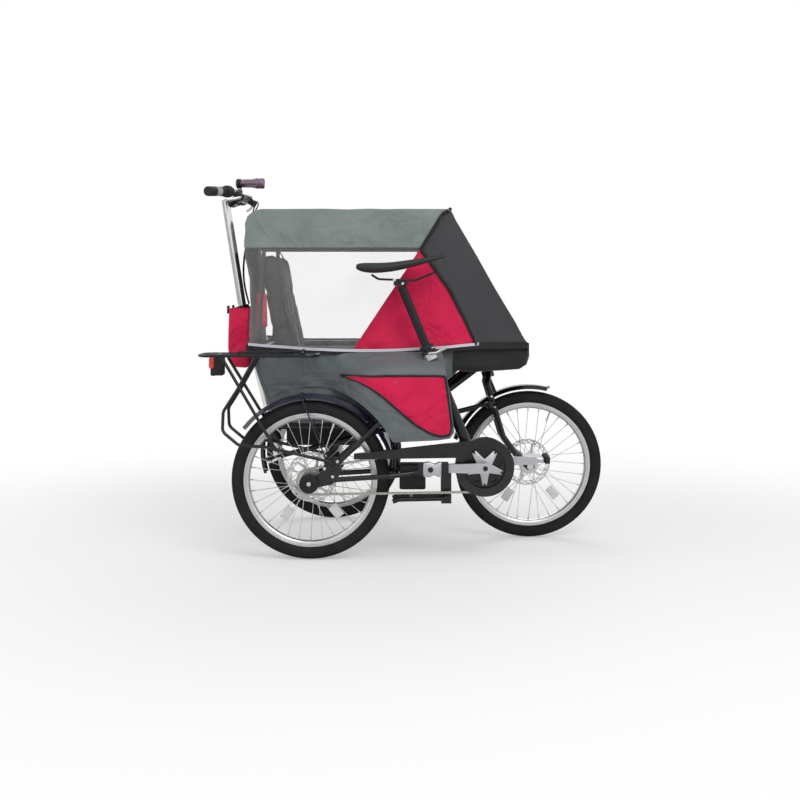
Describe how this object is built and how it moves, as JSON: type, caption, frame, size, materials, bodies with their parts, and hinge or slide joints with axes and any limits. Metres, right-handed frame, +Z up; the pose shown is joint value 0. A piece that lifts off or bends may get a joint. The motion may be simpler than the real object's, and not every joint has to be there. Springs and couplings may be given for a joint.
{
  "type": "electric cargo trike",
  "caption": "Electric cargo trike with a covered child cabin, its drive unit docked beside the cabin, a steered front wheel and a handlebar column behind",
  "frame": {"origin": "on the ground, under the middle of the bounding box", "axes": "+X forward, +Y to the left, +Z up"},
  "size_m": [1.326, 0.858, 1.225],
  "materials": {
    "black_metal": "satin black paint",
    "chrome": "polished",
    "chain_steel": "oiled steel",
    "black_plastic": "fine grain",
    "red_lens": "moulded lens",
    "grey_cloth": "coated canvas",
    "black_cloth": "coated canvas",
    "mesh_cloth": "woven mesh",
    "red_cloth": "coated canvas",
    "clear_film": "clear flexible film",
    "silver_band": "reflective tape",
    "alloy": "satin",
    "rotor_steel": "ground",
    "tyre": "rubber"
  },
  "bodies": {
    "chassis": {"chassis_frame": "black_metal", "drive_frame": "black_metal", "rack": "black_metal", "drive_mudguard": "black_metal", "left_mudguard": "black_metal", "chain_guard": "black_metal", "seat_post": "black_metal", "drive_axle": "chrome", "seat_clamp": "chrome", "chain": "chain_steel", "saddle": "black_plastic", "controller_box": "black_plastic", "battery": "black_plastic", "tail_lamp": "red_lens", "tub": "grey_cloth", "canopy_roof": "grey_cloth", "canopy_back": "grey_cloth", "right_pod": "grey_cloth", "left_pod": "grey_cloth", "seat_back": "grey_cloth", "nose": "black_cloth", "seat_cushion": "black_cloth", "canopy_mesh": "mesh_cloth", "red_panels": "red_cloth", "quarter_panels": "red_cloth", "rear_pocket": "red_cloth", "windows": "clear_film", "rim_band": "silver_band", "hoops": "alloy"},
    "handlebar": {"steering_column": "chrome", "handlebar": "chrome", "pole_clamp": "black_plastic", "grips": "black_plastic", "brake_levers": "black_plastic", "headlamp": "black_plastic"},
    "drag_link": {"drag_link": "black_metal"},
    "front_fork": {"fork": "black_metal", "front_mudguard": "black_metal", "front_caliper": "black_metal", "front_axle": "chrome"},
    "front_wheel": {"front_tyre": "tyre", "front_rim": "alloy", "front_hub": "alloy", "front_rotor": "rotor_steel"},
    "drive_wheel": {"drive_tyre": "tyre", "drive_rim": "alloy", "drive_hub": "alloy", "drive_rotor": "rotor_steel", "sprocket": "rotor_steel"},
    "left_wheel": {"left_tyre": "tyre", "left_rim": "alloy", "left_hub": "alloy"},
    "crank": {"chainring": "alloy", "crank_arms": "alloy", "right_pedal": "black_plastic", "left_pedal": "black_plastic"},
    "kickstand": {"kickstand": "black_metal"}
  },
  "joints": [
    {"name": "fork_steer", "type": "hinge", "parent": "chassis", "child": "front_fork", "pos_m": [0.26459, 0.029, 0.6], "axis": [-0.2419, 0, 0.9703], "range_deg": [-30, 30]},
    {"name": "handlebar_steer", "type": "hinge", "parent": "chassis", "child": "handlebar", "pos_m": [-0.51989, 0.029, 0.6], "axis": [-0.2419, 0, 0.9703], "range_deg": [-30, 30]},
    {"name": "drag_link_pivot", "type": "hinge", "parent": "handlebar", "child": "drag_link", "pos_m": [-0.46582, -0.057, 0.27981], "axis": [-0.2419, 0, 0.9703], "range_deg": [-30, 30]},
    {"name": "front_wheel_spin", "type": "hinge", "parent": "front_fork", "child": "front_wheel", "pos_m": [0.413, 0.029, 0.25], "axis": [0, 1, 0], "continuous": true},
    {"name": "drive_wheel_spin", "type": "hinge", "parent": "chassis", "child": "drive_wheel", "pos_m": [-0.31, -0.311, 0.25], "axis": [0, 1, 0], "continuous": true},
    {"name": "left_wheel_spin", "type": "hinge", "parent": "chassis", "child": "left_wheel", "pos_m": [-0.27, 0.369, 0.25], "axis": [0, 1, 0], "continuous": true},
    {"name": "crank_spin", "type": "hinge", "parent": "chassis", "child": "crank", "pos_m": [0.235, -0.311, 0.297], "axis": [0, 1, 0], "continuous": true},
    {"name": "kickstand_swing", "type": "hinge", "parent": "chassis", "child": "kickstand", "pos_m": [0.117, -0.311, 0.196], "axis": [0, -1, 0], "range_deg": [0, 85]}
  ],
  "couplings": [
    {"joint": "handlebar_steer", "follows": "fork_steer", "ratio": 1},
    {"joint": "drag_link_pivot", "follows": "fork_steer", "ratio": -1}
  ]
}
